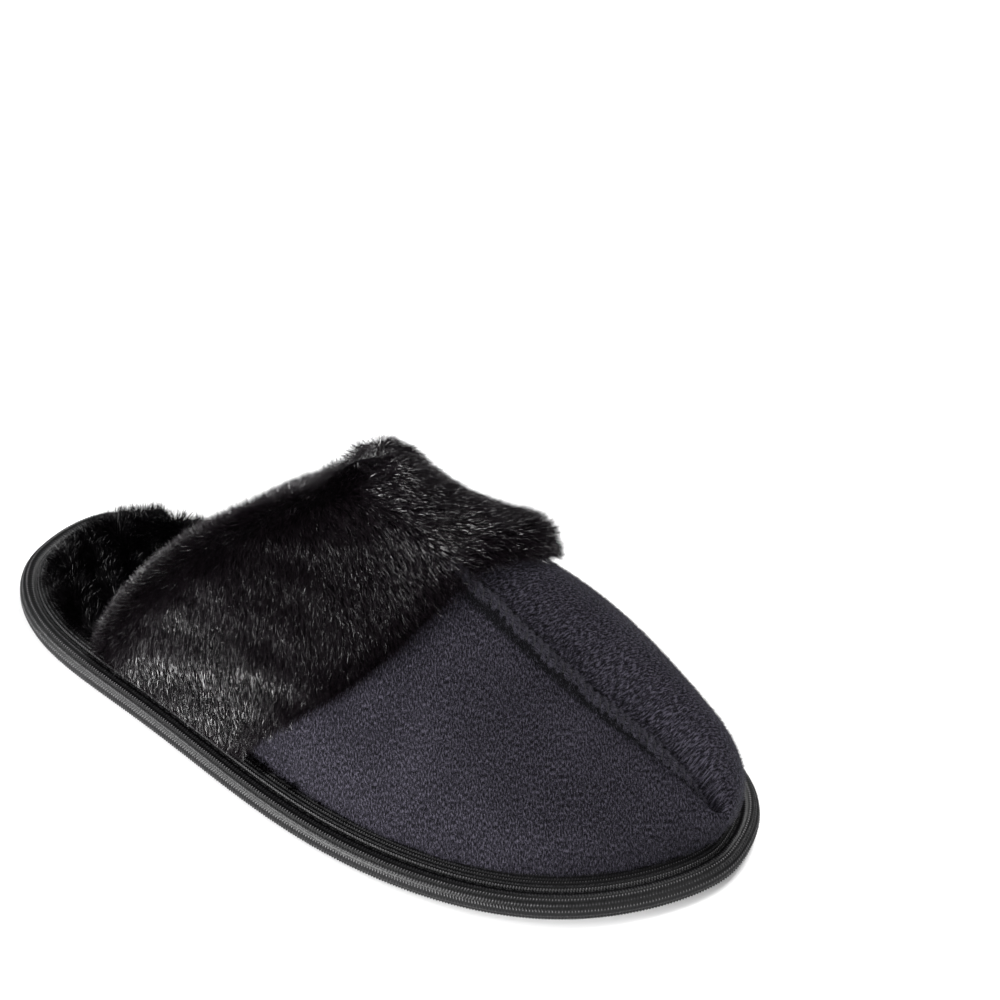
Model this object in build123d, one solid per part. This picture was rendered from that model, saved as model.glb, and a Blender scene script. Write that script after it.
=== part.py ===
from build123d import *
import math
import os

import numpy as np

# Right-foot open-back house slipper.  Millimetres, +X from heel to toe, +Y to the
# medial (big-toe) side, +Z up.  The origin is under the middle of the slipper's box.

# ---------------------------------------------------------------- driving dimensions
LENGTH = 260.0              # outer edge of the binding, heel tip to toe tip
STATIONS = (0.05, 0.15, 0.25, 0.35, 0.45, 0.55, 0.65, 0.75, 0.85, 0.95)
MEDIAL_WIDTH = (28.8, 34.5, 35.2, 33.0, 34.0, 38.8, 44.5, 46.5, 42.0, 29.0)
LATERAL_WIDTH = (23.2, 35.1, 40.8, 46.6, 52.8, 57.4, 58.9, 56.2, 47.5, 27.0)
OUTLINE_DEGREE = 6          # smoothing degree through the width stations
OUTLINE_POINTS = 22         # spline points along each side of the outline
MEDIAL = 1
LATERAL = -1

# heights of the sole sandwich, from the ground up
TAPE_BOTTOM = 0.6
SHEET_BOTTOM = 1.4          # underside of the moulded outsole sheet
MIDSOLE_BOTTOM = 2.4
BOARD_BOTTOM = 4.6
COMFORT_BOTTOM = 5.4
PLUSH_BOTTOM = 6.1
MARGIN_BOTTOM = 6.7         # the upper's turned-out margin lies on the plush skirt
FLANGE_BOTTOM = 7.4
TAPE_TOP = 8.2
CUSHION_TOP = 8.4           # comfort foam inside the binding
PILE_TOP = 13.4             # brushed height of the insole plush
REAR_MARGIN = 9.0           # wide heel pile ends this far behind the throat's foot

# edge binding, measured inwards from the outer edge
CORE_INSET = 3.0            # the sandwich ends here, inside the bead
BEAD_RADIUS = 3.3
FLANGE_INSET = 9.0
UNDER_FLANGE_INSET = 8.5
STITCH_INSETS = (5.0, 7.0)
STITCH_WIDTH = 0.6
STITCH_SINK = 0.35

# tread
TREAD_INSET = 10.0
TREAD_GROOVE = 3.0
TREAD_PITCH = 10.0

# upper
VAMP_INSET = 9.3            # foot line of the vamp, just inside the binding
MARGIN_INSET = 4.0
REAR_X = {LATERAL: 50.0, MEDIAL: 38.0}     # where the throat line meets the binding
SPREAD_X = {LATERAL: 50.0, MEDIAL: 66.0}   # where the front of the upper seems to spread from
SPREAD_FADE = 6             # how soon the foot line leaves the rear end for that spread
THROAT_X = 128.0            # top of the throat, on the centre seam
SEAM_TOE_X = 249.0          # toe end of the centre seam
THROAT_SEAM_Y = -5.5
TOE_SEAM_Y = -0.5
RIDGE_STATIONS = (0.0, 0.2, 0.36, 0.56, 0.76, 0.91, 1.0)
RIDGE_HEIGHTS = (92.0, 86.5, 76.5, 59.5, 44.0, 33.0, 20.0)
RIDGE_DEGREE = 5
FULLNESS = {LATERAL: 0.78, MEDIAL: 0.72}   # below 1 the section is fuller than an ellipse
TOP_FULLNESS = 0.85
THROAT_CLIMB = 0.62         # how early the medial throat line moves forward as it climbs
THROAT_BOW = 9.0            # how far the medial throat line reaches ahead of the seam
BOW_LIFT = 2                # the bow is widest above mid height
THROAT_FADE = {LATERAL: 2, MEDIAL: 4}      # how soon the throat line's shape dies out forward
TILT = 0.5                  # the instep stands higher on the medial side of the seam
TILT_LIFT = 1.5             # and the more so the nearer to the seam
TOE_BULGE = 8.0             # the padded toe swells out over the flange
BULGE_RUN = {LATERAL: 6, MEDIAL: 3}
TOE_BLEND = 0.15            # below the seam's end the two sides run smoothly together
TOE_FADE = 4                # how late along the upper the toe's own shape sets in
TOE_REACH = 3.5             # the foot creeps out on the medial corner of the toe
REACH_RUN = 0.88
REACH_WIDTH = 0.12
RIB_COUNT = 12
RUN_STEP = 0.01             # short run that gives the direction along the upper
SECTION_COUNT = 10
PANEL_THICKNESS = 0.9
FOAM_THICKNESS = 2.4
LINING_THICKNESS = 2.0
LAYER_GAP = 0.4
WALL = PANEL_THICKNESS + FOAM_THICKNESS + LINING_THICKNESS + 2 * LAYER_GAP
CUSHION_INSET = VAMP_INSET + WALL + 1.0    # the cushion and the pile stay inside the wall's foot
PILE_INSET = VAMP_INSET + WALL + 1.5
HEEL_PILE_INSET = FLANGE_INSET + 0.3

# folded fur cuff
CUFF_SEAM = 0.355           # front edge on the seam, as a fraction of the throat-to-toe run
CUFF_FOOT_RUN = {LATERAL: 0.225, MEDIAL: 0.25}
CUFF_WING = 0.125           # how far the medial front edge reaches ahead
WING_LIFT = 1.3             # the wing is widest above mid height
CUFF_DROP = 2.2             # the lateral front edge falls back late, near the binding
CUFF_STEPS = 4
CUFF_CLEARANCE = 1.0
CUFF_PILE = 6.0
CUFF_TURN = 16.0            # how far it turns into the throat
TURN_PILE = 0.7             # the pile is pressed thinner there
CUFF_LIP = 0.2              # clearance of the fold's inner corners
CUFF_FOOT = TAPE_TOP + 0.4
ROLL_STEPS = 4

# raised centre seam
WELT_RADIUS = 1.9
WELT_START = 0.37
WELT_END = 0.97
WELT_LIFT = 0.4             # underside of the tuck above the ridge line
WELT_STEPS = 16
WELT_TIP = 0.35             # share of its full size at the toe end
WELT_TAPER = 0.25           # the share grows by a whole size over this much of the run
STITCH_PITCH = 4.2
SEAM_STITCH_RADIUS = 0.35
THREAD_GAP = 0.05

HALF_LENGTH = LENGTH / 2
CENTRE_Y = (max(MEDIAL_WIDTH) - max(LATERAL_WIDTH)) / 2


# ---------------------------------------------------------------- outline of the sole
def width_curve(widths):
    stations = np.array(STATIONS)
    return np.polyfit(stations, np.array(widths) / np.sqrt(stations * (1 - stations)), OUTLINE_DEGREE)


WIDTH_CURVES = {MEDIAL: width_curve(MEDIAL_WIDTH), LATERAL: width_curve(LATERAL_WIDTH)}


def edge_point(angle, side):
    """Outer edge of the binding; angle runs from 0 at the heel tip to pi at the toe tip."""
    station = (1 - math.cos(angle)) / 2
    half_width = math.sin(angle) / 2 * np.polyval(WIDTH_CURVES[side], station)
    return np.array([LENGTH * station - HALF_LENGTH, side * half_width - CENTRE_Y])


def inset_point(angle, side, inset):
    """Point of the outline moved square inwards by the inset."""
    step = 1e-3
    along = edge_point(angle + step, side) - edge_point(angle - step, side)
    inwards = np.array([along[1], -along[0]]) * side / np.hypot(*along)
    return edge_point(angle, side) + inset * inwards


def outline_face(inset, height=0.0):
    """Sole-shaped face at the given inset and height."""
    angles = [math.pi * i / OUTLINE_POINTS for i in range(OUTLINE_POINTS + 1)]
    medial = [inset_point(a, MEDIAL, inset) for a in angles]
    lateral = [inset_point(a, LATERAL, inset) for a in reversed(angles[1:-1])]
    points = [(x, y, height) for x, y in medial + lateral]
    return Face(Wire([Spline(points, periodic=True)]))


def layer(inset, bottom, top):
    return extrude(outline_face(inset, bottom), top - bottom, dir=(0, 0, 1))


def ring(outer_inset, inner_inset, bottom, top):
    return layer(outer_inset, bottom, top) - layer(inner_inset, bottom, top)


def span(x_from, x_to, y_from=-LENGTH, y_to=LENGTH):
    """Tall block that trims a layer to a stretch of the slipper."""
    size = (x_to - x_from, y_to - y_from, LENGTH)
    centre = ((x_from + x_to) / 2, (y_from + y_to) / 2, 0)
    return Pos(*centre) * Box(*size)


# ---------------------------------------------------------------- sole sandwich
def make_outsole():
    tread = layer(TREAD_INSET, 0, SHEET_BOTTOM)
    count = int(LENGTH / TREAD_PITCH)
    groove = Box(TREAD_GROOVE, LENGTH, 2 * SHEET_BOTTOM)
    tread -= [Pos((i - count / 2 + 0.5) * TREAD_PITCH, 0, 0) * groove for i in range(count)]
    return layer(CORE_INSET, SHEET_BOTTOM, MIDSOLE_BOTTOM) + tread


def make_comfort_foam():
    cushion = layer(CUSHION_INSET, COMFORT_BOTTOM, CUSHION_TOP)
    return layer(CORE_INSET, COMFORT_BOTTOM, PLUSH_BOTTOM) + cushion


def make_insole_plush():
    rear = span(-LENGTH, min(REAR_X.values()) - HALF_LENGTH - REAR_MARGIN)
    skirt = layer(CORE_INSET, PLUSH_BOTTOM, MARGIN_BOTTOM)
    crushed = layer(CORE_INSET, MARGIN_BOTTOM, FLANGE_BOTTOM) & rear
    heel_pile = layer(HEEL_PILE_INSET, FLANGE_BOTTOM, PILE_TOP) & rear
    pile = layer(PILE_INSET, MARGIN_BOTTOM, PILE_TOP)
    plush = skirt + crushed + heel_pile + pile
    return plush - layer(CUSHION_INSET, COMFORT_BOTTOM, CUSHION_TOP)


def make_edge_binding():
    bead = layer(0, TAPE_BOTTOM, TAPE_TOP)
    rims = [e for e in bead.edges() if e.length > LENGTH]
    bead = fillet(rims, BEAD_RADIUS)
    bead -= layer(CORE_INSET, SHEET_BOTTOM, FLANGE_BOTTOM)
    bead -= layer(FLANGE_INSET, FLANGE_BOTTOM, TAPE_TOP)
    bead -= layer(UNDER_FLANGE_INSET, TAPE_BOTTOM, SHEET_BOTTOM)
    for inset in STITCH_INSETS:
        inner = inset + STITCH_WIDTH
        bead -= ring(inset, inner, TAPE_TOP - STITCH_SINK, TAPE_TOP)
        bead -= ring(inset, inner, TAPE_BOTTOM, TAPE_BOTTOM + STITCH_SINK)
    return bead


def make_stitch_row(inset, bottom):
    return ring(inset, inset + STITCH_WIDTH, bottom, bottom + STITCH_SINK)


# ---------------------------------------------------------------- shape of the upper
RIDGE_CURVE = np.polyfit(RIDGE_STATIONS, RIDGE_HEIGHTS, RIDGE_DEGREE)


def station_angle(x):
    """Outline angle at a distance from the heel tip."""
    return math.acos(1 - 2 * x / LENGTH)


def upper_point(run, rise, side, depth, base):
    """Point of the upper.

    run goes from 0 at the throat to 1 at the toe, rise from 0 at the binding to 1 on
    the centre seam, and depth is how far inside the outer surface the point lies.
    """
    spread, rear = station_angle(SPREAD_X[side]), station_angle(REAR_X[side])
    foot_angle = spread + (math.pi - spread) * run - (spread - rear) * (1 - run) ** SPREAD_FADE
    turn = rise * math.pi / 2
    lean = max(math.cos(turn), 0.0)
    climb = math.sin(turn)
    from_corner = (run if side == MEDIAL else 2 - run) - REACH_RUN
    bulge = TOE_BULGE * run ** BULGE_RUN[side] * math.sin(math.pi * rise)
    bulge += TOE_REACH * math.exp(-(from_corner / REACH_WIDTH) ** 2)
    foot = inset_point(foot_angle, side, VAMP_INSET + depth - bulge)
    top_run = 1 - math.hypot(1 - run, TOE_BLEND * (1 - climb) * run ** TOE_FADE)
    top_x = THROAT_X + (SEAM_TOE_X - THROAT_X) * top_run - depth * run ** TOE_FADE - HALF_LENGTH
    along = (top_x + HALF_LENGTH - THROAT_X) / (SEAM_TOE_X - THROAT_X)
    top_y = THROAT_SEAM_Y + (TOE_SEAM_Y - THROAT_SEAM_Y) * along - CENTRE_Y
    top_z = np.polyval(RIDGE_CURVE, top_run) - depth
    near_throat = (1 - run) ** THROAT_FADE[side]
    if side == MEDIAL:
        throat_way = climb ** THROAT_CLIMB
        bow = THROAT_BOW * math.sin(math.pi * rise ** BOW_LIFT) * near_throat
    else:
        throat_way = rise
        bow = 0.0
    forward = near_throat * throat_way + (1 - near_throat) * (1 - lean ** FULLNESS[side])
    x = foot[0] + (top_x - foot[0]) * forward + bow
    y = top_y + (foot[1] - top_y) * lean ** FULLNESS[side]
    z = base + (top_z - base) * climb ** TOP_FULLNESS + TILT * (y - top_y) * climb ** TILT_LIFT
    return Vector(x, y, z)


def upper_section(rise, side, depths):
    """Closed section through a wall of the upper at one height."""
    runs = [i / RIB_COUNT for i in range(RIB_COUNT + 1)]
    outer = [upper_point(r, rise, side, depths[0], MARGIN_BOTTOM) for r in runs]
    inner = [upper_point(r, rise, side, depths[1], MARGIN_BOTTOM) for r in runs]
    return Wire([Spline(outer), Line(outer[-1], inner[-1]), Spline(inner), Line(inner[0], outer[0])])


def rises_for(side):
    """Section heights, in the order that turns the solid's faces outwards on that side."""
    rises = [i / SECTION_COUNT for i in range(SECTION_COUNT + 1)]
    return rises if side == MEDIAL else rises[::-1]


def upper_wall(side, depths):
    return Solid.make_loft([upper_section(rise, side, depths) for rise in rises_for(side)])


def make_panel(side):
    """Microsuede panel with its flat margin turned out under the binding."""
    wall = upper_wall(side, (0.0, PANEL_THICKNESS))
    margin = ring(MARGIN_INSET, VAMP_INSET + PANEL_THICKNESS / 2, MARGIN_BOTTOM, FLANGE_BOTTOM)
    seam_y = TOE_SEAM_Y - CENTRE_Y
    y_range = (seam_y, LENGTH) if side == MEDIAL else (-LENGTH, seam_y)
    margin &= span(REAR_X[side] - HALF_LENGTH, LENGTH, *y_range)
    return margin + wall


# ---------------------------------------------------------------- folded fur cuff
def cuff_front(rise, side):
    """Front edge of the band, as a run along the upper."""
    foot = CUFF_FOOT_RUN[side]
    if side == LATERAL:
        return CUFF_SEAM - (CUFF_SEAM - foot) * (1 - rise) ** CUFF_DROP
    return foot + (CUFF_SEAM - foot) * rise + CUFF_WING * math.sin(math.pi * rise ** WING_LIFT)


def cuff_section(rise, side):
    """Hook-shaped section: band outside, roll over the throat edge, turn inside."""
    front = cuff_front(rise, side)
    runs = [front * i / CUFF_STEPS for i in range(CUFF_STEPS, -1, -1)]
    inside_run = CUFF_TURN / (SEAM_TOE_X - THROAT_X)
    over = -CUFF_CLEARANCE
    under = WALL + CUFF_CLEARANCE
    edge = upper_point(0, rise, side, WALL / 2, CUFF_FOOT)
    ahead = upper_point(RUN_STEP, rise, side, WALL / 2, CUFF_FOOT)
    back = (edge - ahead).normalized()
    outside = upper_point(0, rise, side, over - CUFF_PILE, CUFF_FOOT) - edge
    inside = upper_point(0, rise, side, under + CUFF_PILE, CUFF_FOOT) - edge
    near_outside = upper_point(0, rise, side, over, CUFF_FOOT) - edge
    near_inside = upper_point(0, rise, side, under, CUFF_FOOT) - edge

    points = [upper_point(r, rise, side, over - CUFF_PILE, CUFF_FOOT) for r in runs]
    for i in range(1, ROLL_STEPS):
        angle = math.pi * i / ROLL_STEPS
        across = outside if angle < math.pi / 2 else inside
        points.append(edge + across * abs(math.cos(angle)) + back * (CUFF_PILE + WALL / 2) * math.sin(angle))
    points.append(edge + inside)
    points.append(upper_point(inside_run, rise, side, under + CUFF_PILE * TURN_PILE, CUFF_FOOT))
    points.append(upper_point(inside_run, rise, side, under, CUFF_FOOT))
    points.append(edge + near_inside + back * CUFF_LIP)
    points.append(edge + back * CUFF_CLEARANCE * 2)
    points.append(edge + near_outside + back * CUFF_LIP)
    points += [upper_point(r, rise, side, over, CUFF_FOOT) for r in reversed(runs[:-1])]
    return Wire.make_polygon(points, close=True)


def make_cuff():
    """One band from the lateral binding, over the instep, to the medial binding."""
    halves = []
    for side in (LATERAL, MEDIAL):
        halves.append(Solid.make_loft([cuff_section(rise, side) for rise in rises_for(side)], True))
    pile = layer(PILE_INSET, 0, PILE_TOP + CUFF_CLEARANCE)
    return halves[0] + halves[1] - pile


# ---------------------------------------------------------------- centre seam
def ridge_point(run, height):
    return upper_point(run, 1.0, LATERAL, -height, MARGIN_BOTTOM)


def welt_share(run):
    """Size of the tuck, which tapers away to the toe, as a share of its full size."""
    return min(1.0, WELT_TIP + (WELT_END - run) / WELT_TAPER)


def make_seam_ridge():
    """Raised tuck where the two panels are whipped together."""
    runs = [WELT_START + (WELT_END - WELT_START) * i / WELT_STEPS for i in range(WELT_STEPS + 1)]
    sections = []
    for run in runs:
        here = ridge_point(run, WELT_LIFT)
        ahead = (ridge_point(run + RUN_STEP, 0) - ridge_point(run - RUN_STEP, 0)).normalized()
        plane = Plane(here, x_dir=(0, 1, 0), z_dir=ahead)
        half = WELT_RADIUS * welt_share(run)
        arch = ThreePointArc((half, 0), (0, half), (-half, 0))
        sections.append(plane * Wire([arch, Line((-half, 0), (half, 0))]))
    return Solid.make_loft(sections)


def make_seam_stitches():
    """Whip stitches: short hoops of thread over the ridge."""
    length = (ridge_point(WELT_END, 0) - ridge_point(WELT_START, 0)).length
    count = int(length / STITCH_PITCH)
    hoops = []
    for i in range(1, count):
        run = WELT_START + (WELT_END - WELT_START) * i / count
        ahead = (ridge_point(run + RUN_STEP, 0) - ridge_point(run - RUN_STEP, 0)).normalized()
        plane = Plane(ridge_point(run, WELT_LIFT), x_dir=(0, 1, 0), z_dir=ahead)
        half = WELT_RADIUS * welt_share(run) + SEAM_STITCH_RADIUS + THREAD_GAP
        ring_solid = Solid.make_torus(half, SEAM_STITCH_RADIUS)
        keep = Pos(0, half, 0) * Box(3 * half, 2 * half, 3 * half)
        hoops.append(plane * (keep & ring_solid))
    return Compound(children=hoops)


# ---------------------------------------------------------------- write the nodes
def main():
    os.makedirs("parts", exist_ok=True)
    padding = (PANEL_THICKNESS + LAYER_GAP, PANEL_THICKNESS + LAYER_GAP + FOAM_THICKNESS)
    lining = (padding[1] + LAYER_GAP, WALL)
    nodes = {
        "outsole": make_outsole(),
        "midsole_foam": layer(CORE_INSET, MIDSOLE_BOTTOM, BOARD_BOTTOM),
        "insole_board": layer(CORE_INSET, BOARD_BOTTOM, COMFORT_BOTTOM),
        "comfort_foam": make_comfort_foam(),
        "insole_plush": make_insole_plush(),
        "edge_binding": make_edge_binding(),
        "binding_stitch_outer": make_stitch_row(STITCH_INSETS[0], TAPE_TOP - STITCH_SINK),
        "binding_stitch_inner": make_stitch_row(STITCH_INSETS[1], TAPE_TOP - STITCH_SINK),
        "sole_stitch_outer": make_stitch_row(STITCH_INSETS[0], TAPE_BOTTOM),
        "sole_stitch_inner": make_stitch_row(STITCH_INSETS[1], TAPE_BOTTOM),
        "vamp_panel_lateral": make_panel(LATERAL),
        "vamp_panel_medial": make_panel(MEDIAL),
        "vamp_foam_lateral": upper_wall(LATERAL, padding),
        "vamp_foam_medial": upper_wall(MEDIAL, padding),
        "vamp_lining_lateral": upper_wall(LATERAL, lining),
        "vamp_lining_medial": upper_wall(MEDIAL, lining),
        "centre_seam_ridge": make_seam_ridge(),
        "centre_seam_stitches": make_seam_stitches(),
        "fur_cuff": make_cuff(),
    }
    for name, shape in nodes.items():
        export_step(shape, f"parts/{name}.step")


main()
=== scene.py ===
import math

import bpy
import numpy as np
from mathutils import Euler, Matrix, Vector, kdtree


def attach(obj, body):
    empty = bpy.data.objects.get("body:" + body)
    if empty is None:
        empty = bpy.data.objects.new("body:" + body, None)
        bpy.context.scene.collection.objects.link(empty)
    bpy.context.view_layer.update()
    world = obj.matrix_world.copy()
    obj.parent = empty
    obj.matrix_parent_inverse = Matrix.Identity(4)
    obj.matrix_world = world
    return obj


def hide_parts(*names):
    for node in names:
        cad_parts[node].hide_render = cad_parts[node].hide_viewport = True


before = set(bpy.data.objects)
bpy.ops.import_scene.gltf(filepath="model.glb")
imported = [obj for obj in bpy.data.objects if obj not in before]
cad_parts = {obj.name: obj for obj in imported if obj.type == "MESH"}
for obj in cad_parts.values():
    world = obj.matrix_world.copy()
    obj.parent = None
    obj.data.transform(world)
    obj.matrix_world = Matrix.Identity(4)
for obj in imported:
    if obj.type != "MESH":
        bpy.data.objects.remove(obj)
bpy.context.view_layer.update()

# A right-foot house slipper, +X to the toe, +Y to the medial side, +Z up.  Shapes are
# worked out in millimetres and turned into metres where a mesh is made.

MM = 0.001
MEDIAL = 1
LATERAL = -1

# ------------------------------------------------------------------ outline of the sole
LENGTH = 260.0
HALF_LENGTH = LENGTH / 2
# width on each side of the long axis, at these shares of the length
STATIONS = np.array((0.05, 0.15, 0.25, 0.35, 0.45, 0.55, 0.65, 0.75, 0.85, 0.95))
MEDIAL_WIDTH = np.array((28.8, 34.5, 35.2, 33.0, 34.0, 38.8, 44.5, 46.5, 42.0, 29.0))
LATERAL_WIDTH = np.array((23.2, 35.1, 40.8, 46.6, 52.8, 57.4, 58.9, 56.2, 47.5, 27.0))
OUTLINE_DEGREE = 6
CENTRE_Y = (MEDIAL_WIDTH.max() - LATERAL_WIDTH.max()) / 2
ROUNDING = np.sqrt(STATIONS * (1 - STATIONS))
MEDIAL_CURVE = np.polyfit(STATIONS, MEDIAL_WIDTH / ROUNDING, OUTLINE_DEGREE)
LATERAL_CURVE = np.polyfit(STATIONS, LATERAL_WIDTH / ROUNDING, OUTLINE_DEGREE)

# ------------------------------------------------------------------ shape of the upper
TAPE_BOTTOM = 0.6
TAPE_TOP = 8.2
FOOT_HEIGHT = 6.7           # the upper's margin lies on the insole's skirt
VAMP_INSET = 10.2
REAR_X = {LATERAL: 50.0, MEDIAL: 38.0}
REAR_ANGLE = {side: math.acos(1 - 2 * x / LENGTH) for side, x in REAR_X.items()}
SPREAD_X = 66.0             # the medial foot line spreads as if from here
SPREAD_ANGLE = math.acos(1 - 2 * SPREAD_X / LENGTH)
SPREAD_FADE = 6             # how soon it leaves the rear end for that spread
THROAT_X = 128.0
SEAM_TOE_X = 249.0
THROAT_SEAM_Y = -5.5
TOE_SEAM_Y = -0.5
RIDGE_STATIONS = (0.0, 0.2, 0.36, 0.56, 0.76, 0.91, 1.0)
RIDGE_HEIGHTS = (92.0, 86.5, 76.5, 59.5, 44.0, 33.0, 20.0)
RIDGE_CURVE = np.polyfit(RIDGE_STATIONS, RIDGE_HEIGHTS, 5)
FULLNESS = {LATERAL: 0.78, MEDIAL: 0.72}
TOP_FULLNESS = 0.85
THROAT_BOW = 9.0            # how far the medial throat line reaches ahead of the seam
THROAT_CLIMB = 0.62         # how early the medial throat line moves forward as it climbs
BOW_LIFT = 2                # the bow is widest above mid height
THROAT_FADE = {LATERAL: 2, MEDIAL: 4}      # how soon the throat line's shape dies out forward
TILT = 0.5                  # the instep stands higher on the medial side of the seam
TILT_LIFT = 1.5             # and the more so the nearer to the seam
TOE_BULGE = 8.0             # the padded toe swells out over the flange
BULGE_RUN = {LATERAL: 6, MEDIAL: 3}
TOE_BLEND = 0.15            # below the seam's end the two sides run smoothly together
TOE_FADE = 4                # how late along the upper the toe's own shape sets in
TOE_REACH = 3.5             # and its foot creeps out on the medial corner
REACH_RUN = 0.88
REACH_WIDTH = 0.12
PANEL_THICKNESS = 3.3       # microsuede and its foam backing together
WALL = 6.2
CUFF_SEAM = 0.355
CUFF_FOOT_RUN = {LATERAL: 0.225, MEDIAL: 0.25}
CUFF_WING = 0.125           # how far the medial front edge reaches ahead
WING_LIFT = 1.3             # the wing is widest above mid height
CUFF_DROP = 2.2             # the lateral front edge falls back late, near the binding
SEAM_END = 0.985
WHIP_PITCH = 2.9
SEAM_SLANT = 1.1            # each stitch leans this far along the seam
SEAM_LIFT = 1.0

STRANDS_PER_PIECE = 60000   # keeps each fur mesh under 200,000 faces
QUALITY = 1.0

# one strand: two quads and a triangle, from root to tip
STRAND_LEVELS = ((0.0, 1.0), (0.38, 0.9), (0.72, 0.62))     # place along it, share of its width
STRAND_CORNERS = np.array((0, 1, 3, 2, 2, 3, 5, 4, 4, 5, 6))
STRAND_SIZES = (4, 4, 3)
STRAND_SHADES = np.array((0.0, 0.0, 0.45, 0.45, 0.8, 0.8, 1.0))
STRAND_UV = np.array(((0.1, 0.1), (0.9, 0.1), (0.1, 0.4), (0.9, 0.4), (0.1, 0.7), (0.9, 0.7), (0.5, 0.95)))


def outline(angle, side, inset=0.0):
    """Points of the sole's edge, moved inwards; angle is 0 at the heel, pi at the toe."""
    def edge(at):
        station = (1 - np.cos(at)) / 2
        curve = np.where(side > 0, np.polyval(MEDIAL_CURVE, station), np.polyval(LATERAL_CURVE, station))
        return LENGTH * station - HALF_LENGTH, side * np.sin(at) / 2 * curve - CENTRE_Y
    step = 1e-3
    x, y = edge(angle)
    x_after, y_after = edge(angle + step)
    x_before, y_before = edge(angle - step)
    along_x, along_y = x_after - x_before, y_after - y_before
    size = np.hypot(along_x, along_y) * side
    return x + inset * along_y / size, y - inset * along_x / size


def upper(run, rise, side, depth=0.0, base=FOOT_HEIGHT):
    """Points of the upper; run is 0 at the throat and 1 at the toe, rise is 0 at the
    binding and 1 on the centre seam, and depth is measured inwards."""
    run, rise, side, depth = np.broadcast_arrays(run, rise, side, depth)
    medial = side > 0
    rear = np.where(medial, REAR_ANGLE[MEDIAL], REAR_ANGLE[LATERAL])
    full = np.where(medial, FULLNESS[MEDIAL], FULLNESS[LATERAL])
    bulge_run = np.where(medial, BULGE_RUN[MEDIAL], BULGE_RUN[LATERAL])
    bulge = TOE_BULGE * run ** bulge_run * np.sin(math.pi * rise)
    from_corner = np.where(medial, run, 2 - run) - REACH_RUN
    bulge = bulge + TOE_REACH * np.exp(-(from_corner / REACH_WIDTH) ** 2)
    spread = np.where(medial, SPREAD_ANGLE, REAR_ANGLE[LATERAL])
    foot_angle = spread + (math.pi - spread) * run - (spread - rear) * np.clip(1 - run, 0, 1) ** SPREAD_FADE
    foot_x, foot_y = outline(foot_angle, side, VAMP_INSET + depth - bulge)
    lean = np.maximum(np.cos(rise * math.pi / 2), 1e-9)
    climb = np.sin(rise * math.pi / 2)
    top_run = 1 - np.hypot(1 - run, TOE_BLEND * (1 - climb) * run ** TOE_FADE)
    top_x = THROAT_X + (SEAM_TOE_X - THROAT_X) * top_run - depth * run ** TOE_FADE - HALF_LENGTH
    along = (top_x + HALF_LENGTH - THROAT_X) / (SEAM_TOE_X - THROAT_X)
    top_y = THROAT_SEAM_Y + (TOE_SEAM_Y - THROAT_SEAM_Y) * along - CENTRE_Y
    top_z = np.polyval(RIDGE_CURVE, top_run) - depth
    near_throat = np.clip(1 - run, 0, 1) ** np.where(medial, THROAT_FADE[MEDIAL], THROAT_FADE[LATERAL])
    throat_way = np.where(medial, climb ** THROAT_CLIMB, rise)
    forward = near_throat * throat_way + (1 - near_throat) * (1 - lean ** full)
    bow = np.where(medial, THROAT_BOW * np.sin(math.pi * rise ** BOW_LIFT), 0) * near_throat
    x = foot_x + (top_x - foot_x) * forward + bow
    y = top_y + (foot_y - top_y) * lean ** full
    z = base + (top_z - base) * climb ** TOP_FULLNESS
    z = z + TILT * (y - top_y) * climb ** TILT_LIFT
    return np.stack([x, y, z], axis=-1)


def cuff_front(rise, side):
    """Front edge of the cuff as a run, from the binding up to the centre seam."""
    lateral = CUFF_SEAM - (CUFF_SEAM - CUFF_FOOT_RUN[LATERAL]) * (1 - rise) ** CUFF_DROP
    straight = CUFF_FOOT_RUN[MEDIAL] + (CUFF_SEAM - CUFF_FOOT_RUN[MEDIAL]) * rise
    medial = straight + CUFF_WING * np.sin(math.pi * rise ** WING_LIFT)
    return np.where(side > 0, medial, lateral)


# ------------------------------------------------------------------ mesh helpers
def unit(vectors):
    return vectors / np.maximum(np.linalg.norm(vectors, axis=-1, keepdims=True), 1e-9)


def new_object(name, mesh, material, replaces=()):
    piece = bpy.data.objects.new(name, mesh)
    bpy.context.scene.collection.objects.link(piece)
    mesh.materials.append(material)
    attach(piece, "root")
    if replaces:
        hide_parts(*replaces)
    return piece


def raw_mesh(name, points, corners, sizes):
    """Mesh from points in millimetres, corner indices and the number of corners per face."""
    mesh = bpy.data.meshes.new(name)
    mesh.vertices.add(len(points))
    mesh.vertices.foreach_set("co", (np.asarray(points, dtype=np.float32) * MM).ravel())
    mesh.loops.add(len(corners))
    mesh.loops.foreach_set("vertex_index", np.asarray(corners, dtype=np.int32))
    mesh.polygons.add(len(sizes))
    starts = np.concatenate([[0], np.cumsum(sizes)[:-1]]).astype(np.int32)
    mesh.polygons.foreach_set("loop_start", starts)
    mesh.polygons.foreach_set("use_smooth", np.full(len(sizes), True))
    mesh.update(calc_edges=True)
    mesh.validate()
    return mesh


def grid_faces(rows, columns, wrap_rows=False, wrap_columns=False, start=0):
    """Corner indices of the quads of a grid of points."""
    i = np.arange(rows if wrap_rows else rows - 1)
    j = np.arange(columns if wrap_columns else columns - 1)
    i, j = np.meshgrid(i, j, indexing="ij")
    i_next, j_next = (i + 1) % rows, (j + 1) % columns
    quads = np.stack([
        i * columns + j, i_next * columns + j, i_next * columns + j_next, i * columns + j_next], -1)
    return quads.reshape(-1, 4) + start


def grid_mesh(name, grid, wrap_rows=False, wrap_columns=False):
    rows, columns = grid.shape[:2]
    quads = grid_faces(rows, columns, wrap_rows, wrap_columns)
    return raw_mesh(name, grid.reshape(-1, 3), quads.ravel(), np.full(len(quads), 4))


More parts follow.
